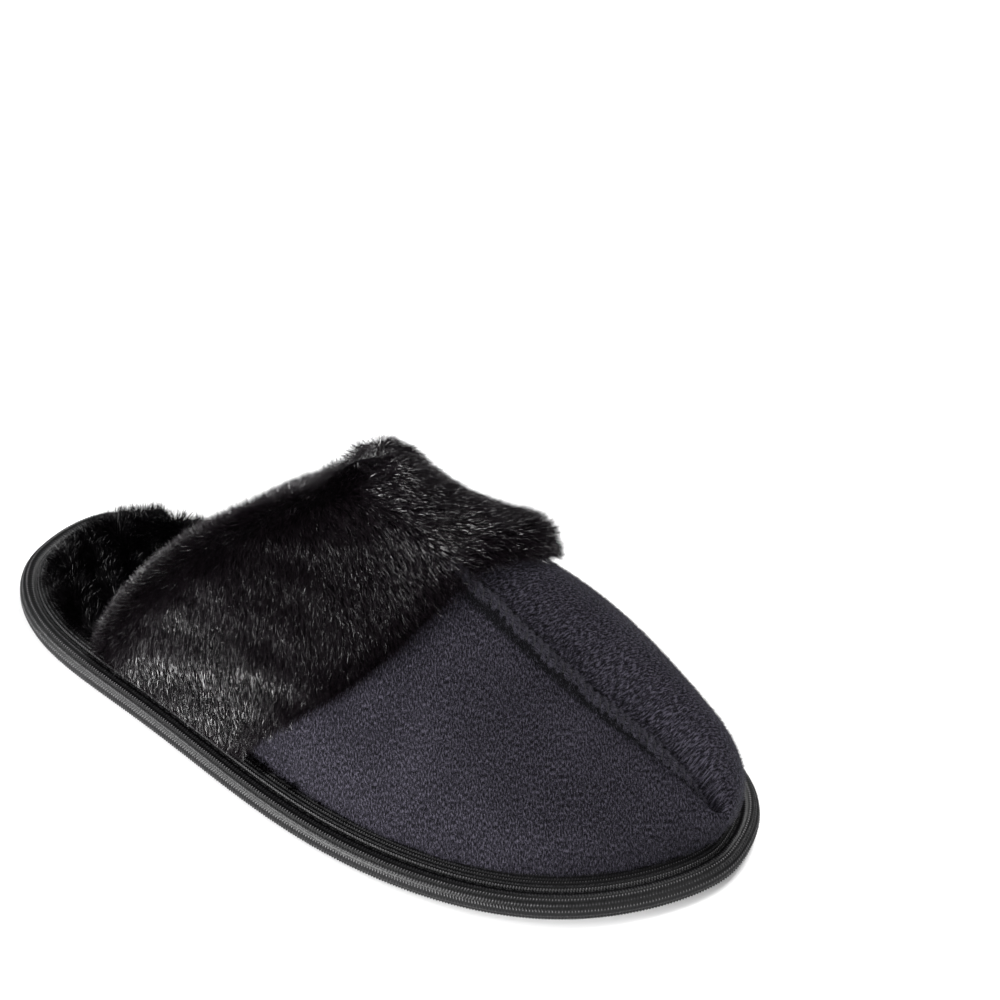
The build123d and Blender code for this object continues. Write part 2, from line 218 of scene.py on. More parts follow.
def shell_mesh(name, outer, inner, flip=False):
    """Closed mesh between two grids of the same size."""
    rows, columns = outer.shape[:2]
    count = rows * columns
    quads = [grid_faces(rows, columns), grid_faces(rows, columns, start=count)[:, ::-1]]
    index = np.arange(count).reshape(rows, columns)
    rim = np.concatenate([index[0, :-1], index[:-1, -1], index[-1, :0:-1], index[:0:-1, 0]])
    after = np.roll(rim, -1)
    quads.append(np.stack([rim, after, after + count, rim + count], -1))
    quads = np.concatenate(quads)
    if flip:
        quads = quads[:, ::-1]
    points = np.concatenate([outer.reshape(-1, 3), inner.reshape(-1, 3)])
    return raw_mesh(name, points, quads.ravel(), np.full(len(quads), 4))


def add_uv(mesh, name, values):
    """UV layer from one pair of values per point."""
    layer = mesh.uv_layers.new(name=name)
    corners = np.empty(len(mesh.loops), dtype=np.int32)
    mesh.loops.foreach_get("vertex_index", corners)
    layer.data.foreach_set("uv", values.reshape(-1, 2)[corners].astype(np.float32).ravel())


def add_value(mesh, name, values):
    """One number per point, for a material to read."""
    attribute = mesh.attributes.new(name, "FLOAT", "POINT")
    attribute.data.foreach_set("value", values.astype(np.float32).ravel())


# ------------------------------------------------------------------ fur
def grid_normals(grid):
    across = np.gradient(grid, axis=0)
    along = np.gradient(grid, axis=1)
    return unit(np.cross(across, along))


def scatter(grid, fields, count, rng, weight=None):
    """Random points of a grid surface, even by area, with the fields carried along."""
    a, b, c, d = grid[:-1, :-1], grid[1:, :-1], grid[1:, 1:], grid[:-1, 1:]
    area = np.linalg.norm(np.cross(c - a, d - b), axis=-1)
    if weight is not None:
        area = area * (weight[:-1, :-1] + weight[1:, 1:]) / 2
    cell = rng.choice(area.size, size=count, p=(area / area.sum()).ravel())
    i, j = np.unravel_index(cell, area.shape)
    s, t = rng.random((2, count))
    blends = ((1 - s) * (1 - t), s * (1 - t), s * t, (1 - s) * t)
    picks = ((i, j), (i + 1, j), (i + 1, j + 1), (i, j + 1))

    def carried(field):
        shape = (-1,) + (1,) * (field.ndim - 2)
        return sum(w.reshape(shape) * field[p] for w, p in zip(blends, picks))
    return [carried(field) for field in [grid] + fields]


def gather(roots, tips, spacing, pull, rng):
    """Pull the tips of neighbouring strands together into tufts."""
    count = max(8, int(len(roots) / spacing))
    leaders = rng.choice(len(roots), size=count, replace=False)
    tree = kdtree.KDTree(count)
    for k, leader in enumerate(leaders):
        tree.insert(roots[leader], k)
    tree.balance()
    nearest = np.array([leaders[tree.find(root)[1]] for root in roots])
    strength = pull * rng.random((len(roots), 1))
    shift = (tips[nearest] - roots[nearest]) - (tips - roots)
    together = (tips[nearest] - tips)
    return tips + strength * (0.5 * shift + 0.5 * together)


def strand_pieces(name, roots, bends, tips, widths, shade, rng, material):
    """Fur as tapered ribbons, a few tens of thousands to a mesh."""
    for part, first in enumerate(range(0, len(roots), STRANDS_PER_PIECE)):
        chosen = slice(first, first + STRANDS_PER_PIECE)
        root, bend, tip = roots[chosen], bends[chosen], tips[chosen]
        count = len(root)
        heading = unit(tip - root)
        roll = unit(rng.normal(size=(count, 3)))
        flat = unit(np.cross(heading, roll)) * (widths[chosen][:, None] / 2)
        rows = []
        for t, share in STRAND_LEVELS:
            centre = (1 - t) ** 2 * root + 2 * t * (1 - t) * bend + t ** 2 * tip
            rows += [centre - flat * share, centre + flat * share]
        rows.append(tip)
        points = np.stack(rows, axis=1)
        corners = (np.arange(count)[:, None] * len(STRAND_UV) + STRAND_CORNERS).ravel()
        mesh = raw_mesh(f"{name}_{part + 1}", points.reshape(-1, 3), corners, np.tile(STRAND_SIZES, count))
        add_value(mesh, "shade", (shade[chosen][:, None] + STRAND_SHADES) / 2)
        side_cells = math.ceil(math.sqrt(count))
        cell = np.stack([np.arange(count) % side_cells, np.arange(count) // side_cells], -1)
        add_uv(mesh, "OFBake", (cell[:, None, :] + STRAND_UV) / side_cells)
        new_object(f"{name}_{part + 1}", mesh, material)


# ------------------------------------------------------------------ materials
def node_material(
        name, base, roughness, specular, sheen=0.0, sheen_roughness=0.5, sheen_tint=(1, 1, 1)):
    material = bpy.data.materials.new(name)
    material.use_nodes = True
    shader = material.node_tree.nodes["Principled BSDF"]
    shader.inputs["Base Color"].default_value = (*base, 1)
    shader.inputs["Roughness"].default_value = roughness
    shader.inputs["Specular IOR Level"].default_value = specular
    shader.inputs["Sheen Weight"].default_value = sheen
    shader.inputs["Sheen Roughness"].default_value = sheen_roughness
    shader.inputs["Sheen Tint"].default_value = (*sheen_tint, 1)
    return material, shader


def value_node(material, name):
    """Reads a number that add_value stored."""
    node = material.node_tree.nodes.new("ShaderNodeAttribute")
    node.attribute_name = name
    return node.outputs["Fac"]


def noise_node(material, scale, detail, stretch=(1, 1, 1), uv=None):
    nodes, links = material.node_tree.nodes, material.node_tree.links
    mapping = nodes.new("ShaderNodeMapping")
    mapping.inputs["Scale"].default_value = stretch
    if uv:
        source = nodes.new("ShaderNodeUVMap")
        source.uv_map = uv
        links.new(source.outputs["UV"], mapping.inputs["Vector"])
    else:
        source = nodes.new("ShaderNodeTexCoord")
        links.new(source.outputs["Object"], mapping.inputs["Vector"])
    noise = nodes.new("ShaderNodeTexNoise")
    noise.inputs["Scale"].default_value = scale
    noise.inputs["Detail"].default_value = detail
    links.new(mapping.outputs["Vector"], noise.inputs["Vector"])
    return noise.outputs["Fac"]


def ramp_node(material, source, stops):
    nodes, links = material.node_tree.nodes, material.node_tree.links
    ramp = nodes.new("ShaderNodeValToRGB")
    elements = ramp.color_ramp.elements
    while len(elements) < len(stops):
        elements.new(0.5)
    for element, (position, colour) in zip(elements, stops):
        element.position = position
        element.color = (*colour, 1)
    links.new(source, ramp.inputs["Fac"])
    return ramp


def bump_node(material, shader, height, strength, distance):
    nodes, links = material.node_tree.nodes, material.node_tree.links
    bump = nodes.new("ShaderNodeBump")
    bump.inputs["Strength"].default_value = strength
    bump.inputs["Distance"].default_value = distance
    links.new(height, bump.inputs["Height"])
    links.new(bump.outputs["Normal"], shader.inputs["Normal"])


def suede_material():
    """Brushed microsuede: short nap streaks, rare bright flecks, and painted shade that darkens it down in
    the seam's crease and along the binding.
    """
    material, shader = node_material("microsuede", (0.02, 0.02, 0.03), 0.85, 0.06, 0.05, 0.3, (0.75, 0.8, 1))
    nodes, links = material.node_tree.nodes, material.node_tree.links
    total = noise_node(material, 1.0, 3.0, (2.3, 0.75, 1), "Nap")
    flecks = noise_node(material, 1.0, 1.0, (3.2, 2.4, 1), "Nap")
    clouds = noise_node(material, 40.0, 2.0)
    # painted shade: this mask darkens the colour beside the centre seam and along the binding
    crease_shade = value_node(material, "crease_shade")
    for source, share in ((flecks, 0.35), (clouds, 0.12), (crease_shade, -1.0)):
        add = nodes.new("ShaderNodeMath")
        add.operation = "MULTIPLY_ADD"
        add.inputs[1].default_value = share
        links.new(source, add.inputs[0])
        links.new(total, add.inputs[2])
        total = add.outputs[0]
    ramp = ramp_node(material, total, (
        (0.60, (0.0010, 0.0010, 0.0016)), (0.74, (0.0105, 0.0094, 0.0140)),
        (0.88, (0.0500, 0.0460, 0.0610))))
    bright = ramp_node(material, flecks, ((0.66, (0.0, 0.0, 0.0)), (0.80, (0.06, 0.057, 0.07))))
    mix = nodes.new("ShaderNodeMixRGB")
    mix.blend_type = "ADD"
    mix.inputs["Fac"].default_value = 1.0
    links.new(ramp.outputs["Color"], mix.inputs["Color1"])
    links.new(bright.outputs["Color"], mix.inputs["Color2"])
    links.new(mix.outputs["Color"], shader.inputs["Base Color"])
    bump_node(material, shader, total, 1.0, 0.0008)
    return material


def tape_material():
    """Woven tape: ribs and ridges are modelled; the colour is painted darker between them as shade and
    lighter on their tops as highlight.
    """
    material, shader = node_material("binding_tape", (0.02, 0.02, 0.022), 0.4, 0.22)
    nodes, links = material.node_tree.nodes, material.node_tree.links
    relief_and_shade = value_node(material, "relief_and_shade")
    grain = noise_node(material, 1400.0, 2.0)
    mix = nodes.new("ShaderNodeMath")
    mix.operation = "MULTIPLY_ADD"
    mix.inputs[1].default_value = 0.3
    links.new(grain, mix.inputs[0])
    links.new(relief_and_shade, mix.inputs[2])
    # painted shade in the valleys between the ribs, painted highlight on their peaks
    ramp = ramp_node(material, mix.outputs[0], (
        (0.50, (0.0008, 0.0008, 0.0010)), (0.85, (0.014, 0.0137, 0.015)), (1.0, (0.15, 0.145, 0.15))))
    links.new(ramp.outputs["Color"], shader.inputs["Base Color"])
    bump_node(material, shader, grain, 0.35, 0.0003)
    return material


def thread_material():
    material, shader = node_material("thread", (0.014, 0.014, 0.016), 0.45, 0.4, 0.1)
    links = material.node_tree.links
    twist = noise_node(material, 2200.0, 1.0)
    ramp = ramp_node(material, twist, (
        (0.3, (0.002, 0.002, 0.0025)), (0.8, (0.014, 0.014, 0.016))))
    links.new(ramp.outputs["Color"], shader.inputs["Base Color"])
    bump_node(material, shader, twist, 0.3, 0.0002)
    return material


def fur_material(name, root, tip, roughness, specular):
    """Fibre colour runs from the root shade to the tip shade and varies by strand."""
    material, shader = node_material(name, tip, roughness, specular)
    ramp = ramp_node(material, value_node(material, "shade"), ((0.1, root), (0.9, tip)))
    material.node_tree.links.new(ramp.outputs["Color"], shader.inputs["Base Color"])
    return material


def backing_material(name, colour):
    """Dark knitted base under the pile."""
    material, shader = node_material(name, colour, 0.95, 0.05)
    links = material.node_tree.links
    knit = noise_node(material, 900.0, 3.0)
    ramp = ramp_node(material, knit, ((0.3, tuple(0.4 * c for c in colour)), (0.8, colour)))
    links.new(ramp.outputs["Color"], shader.inputs["Base Color"])
    bump_node(material, shader, knit, 0.8, 0.001)
    return material


def grain_material(name, dark, light, scale, roughness, depth):
    """Moulded, foamed or pressed sheet: fine two-tone grain with matching relief."""
    material, shader = node_material(name, light, roughness, 0.3)
    links = material.node_tree.links
    grain = noise_node(material, scale, 4.0)
    ramp = ramp_node(material, grain, ((0.3, dark), (0.7, light)))
    links.new(ramp.outputs["Color"], shader.inputs["Base Color"])
    bump_node(material, shader, grain, 0.4, depth)
    return material


SUEDE = suede_material()
TAPE = tape_material()
THREAD = thread_material()
CUFF_FUR = fur_material("cuff_fur", (0.0006, 0.0005, 0.0006), (0.0100, 0.0070, 0.0092), 0.19, 0.6)
PLUSH_FUR = fur_material("plush_fur", (0.0005, 0.0004, 0.0005), (0.0024, 0.0019, 0.0024), 0.26, 0.12)
NAP = fur_material("suede_nap", (0.0015, 0.0014, 0.0028), (0.062, 0.058, 0.078), 0.6, 0.3)
BACKING = backing_material("fur_backing", (0.003, 0.0024, 0.003))


# ------------------------------------------------------------------ edge binding
RIB_PITCH = 0.95
RIB_RELIEF = 0.50           # how far a woven rib stands out
BEAD_X = 3.7
BEAD_Z = (TAPE_TOP + TAPE_BOTTOM) / 2
BEAD_WIDTH = 3.6
BEAD_HEIGHT = 3.75
BEAD_START, BEAD_END = math.radians(122), math.radians(-80)
POINTS_PER_RIB = 3
FLANGE_IN = 10.6            # inner edge of the tape's top, clear of the pile
GROOVE = 5.6                # between flange and bead
UNDER_IN = 8.5
FLANGE_RISE = 0.35
GROOVE_DROP = 0.75
BEAD_STEPS = 33
TAPE_INSIDE = 3.2           # where the tape's inner face stands behind the bead
FLANGE_STEPS = 17
FLANGE_RIDGES = 4           # woven ridges across the flange
FLANGE_LIFT = 1.0           # the padded upper pushes the flange up, from here forward
LIFT_FROM, LIFT_RUN = 0.2, 0.15
LIFT_INSET, LIFT_WIDTH = 6.0, 4.6
STITCH_PITCH = 3.2
STITCH_POINTS = 20          # outline points per stitch; the thread shows from 3 to 17
STITCH_RADIUS = 0.2
CAPSULE_SIDES = 6
CAPSULE_RINGS = ((0.0, 0.45), (0.12, 0.9), (0.5, 1.0), (0.88, 0.9), (1.0, 0.45))


def outline_loop(count):
    """Even walk round the whole outline: angles and sides, heel to toe and back."""
    fine = 4000
    angle = np.concatenate([np.linspace(0, math.pi, fine), np.linspace(math.pi, 0, fine)])
    side = np.concatenate([np.full(fine, MEDIAL), np.full(fine, LATERAL)])
    x, y = outline(angle, side)
    walked = np.concatenate([[0], np.cumsum(np.hypot(np.diff(x), np.diff(y)))])
    at = np.linspace(0, walked[-1], count, endpoint=False)
    where = np.clip(np.searchsorted(walked, at), 1, len(walked) - 1)
    share = (at - walked[where - 1]) / np.maximum(walked[where] - walked[where - 1], 1e-9)
    angle_at = angle[where - 1] + share * (angle[where] - angle[where - 1])
    return angle_at, side[where], walked[-1]


PERIMETER = outline_loop(10)[2]


def tape_profile():
    """Section of the tape as (inset, height, out_inset, out_height, ridge): flange,
    groove, bead, under-groove and under-flange, then back along the inside."""
    rows = []
    for s in np.linspace(0, 1, FLANGE_STEPS):
        inset = FLANGE_IN - (FLANGE_IN - GROOVE - 0.5) * s
        rows.append((inset, TAPE_TOP + FLANGE_RISE, 0.0, 1.0, math.cos(2 * math.pi * FLANGE_RIDGES * s)))
    rows.append((GROOVE, TAPE_TOP - GROOVE_DROP, 0.0, 0.0, -1.0))
    for i, angle in enumerate(np.linspace(BEAD_START, BEAD_END, BEAD_STEPS)):
        across, above = math.cos(angle), math.sin(angle)
        rows.append((
            BEAD_X - BEAD_WIDTH * across, BEAD_Z + BEAD_HEIGHT * above,
            -across, above, math.cos(math.pi * i / 2)))
    inside = (
        (GROOVE, TAPE_BOTTOM + 0.35), (UNDER_IN, TAPE_BOTTOM + 0.1), (UNDER_IN, 1.35),
        (TAPE_INSIDE, 1.45), (TAPE_INSIDE, 7.3), (FLANGE_IN, 7.6))
    rows += [(inset, height, 0.0, 0.0, -1.0) for inset, height in inside]
    return np.array(rows)


def make_binding():
    profile = tape_profile()
    ribs = int(round(PERIMETER / RIB_PITCH))
    angle, side, _ = outline_loop(ribs * POINTS_PER_RIB)
    step = np.arange(ribs * POINTS_PER_RIB)[:, None]
    base_inset, base_height, out_inset, out_height, ridge = profile.T
    row = np.arange(len(profile))
    stagger = (row // 4 % 2) * math.pi
    rib = np.cos(2 * math.pi * step / POINTS_PER_RIB + stagger)
    raised = (out_inset ** 2 + out_height ** 2 > 0)
    # rib height: it shapes the ribs, and the tape's colour reads it as painted shade in the valleys and
    # painted highlight on the peaks
    relief_and_shade = (0.5 + 0.5 * ridge) ** 0.6 * (0.5 + 0.5 * rib) * raised
    swell = RIB_RELIEF * relief_and_shade
    inset = base_inset + out_inset * swell
    height = base_height + out_height * swell
    x_out, y_out = outline(angle, side)
    x_in, y_in = outline(angle, side, 1.0)
    towards_x, towards_y = (x_in - x_out)[:, None], (y_in - y_out)[:, None]
    station = (1 - np.cos(angle))[:, None] / 2
    lift = np.clip((station - LIFT_FROM) / LIFT_RUN, 0, 1)
    lift = lift * np.clip((inset - LIFT_INSET) / LIFT_WIDTH, 0, 1)
    height = height + FLANGE_LIFT * lift * (height > BEAD_Z)
    grid = np.stack([
        x_out[:, None] + towards_x * inset,
        y_out[:, None] + towards_y * inset,
        height], axis=-1)
    mesh = grid_mesh("woven_binding", grid, wrap_rows=True, wrap_columns=True)
    add_value(mesh, "relief_and_shade", relief_and_shade)
    new_object("woven_binding", mesh, TAPE, ("edge_binding",))


def capsule_row(name, starts, ends, radius, material, replaces):
    """Short round stitches, each from one point to another, as one mesh."""
    sides, rings = CAPSULE_SIDES, CAPSULE_RINGS
    along = unit(ends - starts)
    up = np.array((0.0, 0.0, 1.0))
    across = unit(np.cross(along, up))
    above = np.cross(across, along)
    turn = np.linspace(0, 2 * math.pi, sides, endpoint=False)
    circle = (
        np.cos(turn)[None, :, None] * across[:, None, :]
        + np.sin(turn)[None, :, None] * above[:, None, :])
    levels = [
        (starts + (ends - starts) * t)[:, None, :] + circle * radius * share for t, share in rings]
    points = np.stack(levels, axis=1)
    count = len(starts)
    quads = grid_faces(len(rings), sides, wrap_columns=True)
    step = len(rings) * sides
    caps = np.array([list(range(sides))[::-1], list(range(step - sides, step))])
    base = np.arange(count)[:, None, None] * step
    corners = np.concatenate([(base + quads).reshape(count, -1), (base + caps).reshape(count, -1)], axis=1)
    sizes = np.tile([4] * len(quads) + [sides] * 2, count)
    mesh = raw_mesh(name, points.reshape(-1, 3), corners.ravel(), sizes)
    new_object(name, mesh, material, replaces)


def make_binding_stitches():
    rows = (
        ("needle_stitches_outer", 5.5, TAPE_TOP - 0.45, "binding_stitch_outer"),
        ("needle_stitches_inner", 7.1, TAPE_TOP + 0.55, "binding_stitch_inner"),
        ("bobbin_stitches_outer", 5.1, TAPE_BOTTOM + 0.15, "sole_stitch_outer"),
        ("bobbin_stitches_inner", 7.1, TAPE_BOTTOM + 0.15, "sole_stitch_inner"))
    count = int(PERIMETER / STITCH_PITCH)
    angle, side, _ = outline_loop(count * STITCH_POINTS)
    for name, inset, height, node in rows:
        x, y = outline(angle, side, inset)
        points = np.stack([x, y, np.full_like(x, height)], axis=-1)
        starts, ends = points[3::STITCH_POINTS], points[17::STITCH_POINTS]
        capsule_row(name, starts, ends, STITCH_RADIUS, THREAD, (node,))


# ------------------------------------------------------------------ vamp
PANEL_LENGTH = 130.0        # throat to toe, near enough to space the puckers
PANEL_STEP = 0.004          # short step that gives the surface's directions
SEAM_SINK = {LATERAL: 2.0, MEDIAL: 0.9}    # the panel dips beside the tuck
SINK_WIDTH = 3.6
PUCKER = 0.22
PUCKER_REACH = 4.0
GATHERS = 0.25              # small gathers along the binding
GATHER_REACH = 7.0
PANEL_SWELL = 0.55          # broad, soft unevenness of the padding
SEAM_FADE = 0.03            # run over which the seam's marks die out at the toe
# reach of the painted shade beside the seam, for each side, and along the binding
CREASE_SHADE_REACH = {LATERAL: 3.6, MEDIAL: 2.6}
FOOT_SHADE_REACH = 2.2
PANEL_ROWS, PANEL_COLUMNS = 260, 170
PANEL_STRANDS = 58000
NAP_LENGTH = 0.85
NAP_WIDTH = 0.075


def nap_way(side):
    """Way the nap is brushed on a panel: forward, out from the seam and down."""
    return np.array((0.55, 0.83 * side, -0.8))


def smooth_noise(u, v, seed, waves=7, low=1.0, high=4.0):
    """Soft pseudo-random field over two parameters, from a handful of sine waves."""
    rng = np.random.default_rng(seed)
    total = np.zeros(np.broadcast(u, v).shape)
    for _ in range(waves):
        fu, fv = rng.uniform(low, high, 2) * rng.choice((-1, 1), 2)
        total += np.sin(2 * math.pi * (fu * u + fv * v) + rng.uniform(0, 2 * math.pi))
    return total / math.sqrt(waves)


def panel_surface(run, rise, side):
    """Outer face of a panel: the upper's shape, sunk beside the seam and puckered."""
    smooth = upper(run, rise, side)
    ahead = upper(run + PANEL_STEP, rise, side)
    above = upper(run, np.minimum(rise + PANEL_STEP, 1.0), side)
    below = upper(run, np.maximum(rise - PANEL_STEP, 0.0), side)
    normal = unit(np.cross(ahead - smooth, above - below)) * side
    centre = upper(run, np.ones_like(rise), side)
    from_seam = np.linalg.norm(smooth - centre, axis=-1)
    foot = upper(run, np.zeros_like(rise), side)
    from_foot = np.linalg.norm(smooth - foot, axis=-1)
    in_seam = np.clip((SEAM_END + 0.01 - run) / SEAM_FADE, 0, 1)
    sink = -SEAM_SINK[side] * np.exp(-(from_seam / SINK_WIDTH) ** 2) * in_seam
    pucker = PUCKER * np.cos(2 * math.pi * run * PANEL_LENGTH / WHIP_PITCH)
    pucker = pucker * np.exp(-from_seam / PUCKER_REACH) * in_seam
    gathers = GATHERS * smooth_noise(run * 3.0, rise * 0.4, 11 + side, low=2.0, high=6.0)
    gathers = gathers * np.exp(-from_foot / GATHER_REACH)
    swell = PANEL_SWELL * smooth_noise(run, rise, 5 + side, low=0.6, high=2.0)
    ends = np.clip(from_foot / 6.0, 0, 1)
    move = sink + pucker + gathers * ends + swell * ends * np.clip(from_seam / 8.0, 0, 1)
    return smooth + normal * move[..., None]


def make_vamp_panel(side, name, replaces):
    runs, rises = int(PANEL_ROWS * max(QUALITY, 0.5)), int(PANEL_COLUMNS * max(QUALITY, 0.5))
    run, rise = np.meshgrid(np.linspace(0, 1, runs), np.linspace(0, 1, rises), indexing="ij")
    outer = panel_surface(run, rise, side)
    inner = upper(run, rise, side, PANEL_THICKNESS)
    mesh = shell_mesh(name, outer, inner, flip=side == LATERAL)
    way = outer @ nap_way(side)
    across = outer @ np.array((0.83, -0.55 * side, 0.0))
    uv = np.stack([across, way], axis=-1)
    from_seam = np.linalg.norm(outer - outer[:, -1:], axis=-1)
    from_foot = np.linalg.norm(outer - outer[:, :1], axis=-1)
    # painted shade, darkest beside the centre seam and along the binding, stored for the suede's colour
    crease_shade = np.exp(-(from_seam / CREASE_SHADE_REACH[side]) ** 4) * np.clip((SEAM_END - run) / SEAM_FADE, 0, 1)
    crease_shade = 0.6 * crease_shade + 0.5 * np.exp(-(from_foot / FOOT_SHADE_REACH) ** 2)
    add_uv(mesh, "Nap", np.concatenate([uv, uv]))
    add_value(mesh, "crease_shade", np.concatenate([crease_shade, crease_shade]))
    piece = new_object(name, mesh, SUEDE, replaces)
    make_panel_nap(name.replace("padded_vamp", "vamp_nap"), outer, side, crease_shade, 40 + side)


def make_panel_nap(name, outer, side, crease_shade, seed):
    """Short brushed fibres over a panel, combed the way the streaks run."""
    rng = np.random.default_rng(seed)
    count = int(PANEL_STRANDS * QUALITY)
    outward = -side * grid_normals(outer)
    # fewer fibres where the painted shade lies
    root, way = scatter(outer, [outward], count, rng, 1 - 0.8 * np.clip(crease_shade, 0, 1))
    comb = nap_way(side)
    jitter = rng.normal(size=(count, 3)) * 0.3
    length = NAP_LENGTH * (0.5 + 0.8 * rng.random((count, 1)))
    bend = root + unit(way * 0.9 + 0.5 * comb + jitter) * length * 0.5
    tip = bend + unit(way * 0.5 + comb + jitter) * length * 0.5
    widths = NAP_WIDTH * (0.7 + 0.6 * rng.random(count))
    strand_pieces(name, root, bend, tip, widths, rng.random(count) ** 2, rng, NAP)


# ------------------------------------------------------------------ centre seam
TUCK_START = 0.30
TUCK_SIDES = 24
TUCK_RADIUS = 1.85
TUCK_TAPER = 0.04
TUCK_ROWS = 1100
CINCH = 0.38                # how deep each stitch pulls the tuck in
TUCK_STRANDS = 15000
TUCK_NAP_LENGTH = 0.95
TUCK_NAP_WIDTH = 0.09
WHIP_ARC = np.linspace(math.radians(-10), math.radians(190), 8)
WHIP_SINK = 0.74            # the thread lies in the cinch, at this share of the radius
WHIP_RADIUS = 0.16


def make_seam_ridge():
    """Raised tuck along the centre seam, cinched on the slant by each whip stitch."""
    run = np.linspace(TUCK_START, SEAM_END, int(TUCK_ROWS * max(QUALITY, 0.4)))
    centre = upper(run, 1.0, LATERAL)
    ahead = unit(np.gradient(centre, axis=0))
    sideways = unit(np.array((0.0, 1.0, 0.0)) - ahead * ahead[:, 1:2])
    up = np.cross(ahead, sideways)
    up *= np.sign(up[:, 2:3])
    walked = np.concatenate([[0], np.cumsum(np.linalg.norm(np.diff(centre, axis=0), axis=-1))])
    wander = smooth_noise(walked / 40.0, 0 * walked, 3)
    taper = np.clip((SEAM_END - run) / TUCK_TAPER, 0, 1) ** 0.5 * 0.4 + 0.6
    radius = (TUCK_RADIUS + 0.12 * wander) * taper
    turn = np.linspace(0, 2 * math.pi, TUCK_SIDES, endpoint=False)
    slant = np.cos(turn)[None, :] * SEAM_SLANT
    irregular = 0.5 * smooth_noise(walked / 30.0, 0 * walked, 6)[:, None]
    cinch = np.cos(2 * math.pi * (walked[:, None] + slant) / WHIP_PITCH + irregular)
    pinched = 1 - CINCH * (0.5 - 0.5 * cinch) ** 2
    lumps = pinched + 0.06 * smooth_noise(walked[:, None] / 9.0, turn[None, :] / 6.3, 8)
    ring = (
        np.cos(turn)[None, :, None] * sideways[:, None, :] * (radius[:, None] * lumps)[..., None]
        + np.sin(turn)[None, :, None] * up[:, None, :] * (radius[:, None] * lumps)[..., None])
    sway = (0.35 * smooth_noise(walked / 55.0, 0 * walked, 4))[:, None] * sideways
    middle = centre + sway + up * SEAM_LIFT
    grid = middle[:, None, :] + ring
    mesh = grid_mesh("centre_seam_tuck", grid, wrap_columns=True)
    uv = np.stack(np.broadcast_arrays(turn[None, :] * 2.0, walked[:, None]), axis=-1)
    add_uv(mesh, "Nap", uv)
    new_object("centre_seam_tuck", mesh, SUEDE, ("centre_seam_ridge",))
    make_seam_nap(grid, ring, ahead)
    return middle, ahead, up, sideways, radius, walked


def make_seam_nap(grid, ring, ahead):
    """Brushed fibres that stand out of the tuck."""
    rng = np.random.default_rng(23)
    count = int(TUCK_STRANDS * QUALITY)
    upright = unit(ring)
    weight = np.clip(upright[..., 2] + 0.6, 0, 1)
    forward = np.broadcast_to(ahead[:, None, :], grid.shape)
    root, normal, comb = scatter(grid, [upright, forward], count, rng, weight)
    jitter = rng.normal(size=(count, 3)) * 0.45
    length = TUCK_NAP_LENGTH * (0.6 + 0.6 * rng.random((count, 1)))
    bend = root + unit(normal + jitter) * length * 0.5
    tip = bend + unit(normal * 0.6 + comb * 0.8 + jitter) * length * 0.5
    widths = TUCK_NAP_WIDTH * (0.7 + 0.6 * rng.random(count))
    strand_pieces("seam_nap", root, bend, tip, widths, rng.random(count), rng, NAP)


def make_whip_stitches(middle, ahead, up, sideways, radius, walked):
    """Slanted threads that wrap the tuck at each cinch."""
    places = np.arange(0.5, walked[-1] / WHIP_PITCH) * WHIP_PITCH
    index = np.searchsorted(walked, places).clip(1, len(walked) - 2)
    starts, ends = [], []
    for k in index:
        out = radius[k] * WHIP_SINK
        points = []
        for arc in WHIP_ARC:
            lean = -math.cos(arc) * SEAM_SLANT
            hoop = sideways[k] * math.cos(arc) * out + up[k] * math.sin(arc) * out
            points.append(middle[k] + ahead[k] * lean + hoop)
        starts += points[:-1]
        ends += points[1:]
    capsule_row(
        "whip_stitches", np.array(starts), np.array(ends), WHIP_RADIUS, THREAD,
        ("centre_seam_stitches",))


# ------------------------------------------------------------------ cuff
CUFF_ROWS = 84
BAND_SHARE = 0.60
ROLL_SHARE = 0.80
CUFF_BASE = TAPE_TOP + 1.2
CUFF_COLUMNS = 261
CUFF_TURN_RUN = 0.15        # how far the band turns into the throat
CUFF_LIFT = 1.6             # the knitted base stands off the panel
CUFF_UNDER = WALL + 1.2
ROLL_REACH = 5.0
ROLL_WIDTH = 0.36
CUFF_STRANDS = 230000
CUFF_PILE = 5.2
CUFF_STRAND_WIDTH = 0.115
ROLL_SWELL = 6.0            # the folded fabric stands highest over the instep
WING_SWELL = 4.5            # the medial wing of the band stands off the instep
WING_RISE = 0.66
WING_WIDTH = 0.22
WING_DEPTH = 0.30
BAND_PUFF = 1.2             # the band stands off the panel,
BAND_BELLY = 0.8            # more in its middle,
BAND_LUMPS = 0.6            # and unevenly
TUFT_SIZE = 10.0            # strands to a tuft
TUFT_PULL = 0.42
PILE_CLEARANCE = 0.6        # no strand dips into the binding


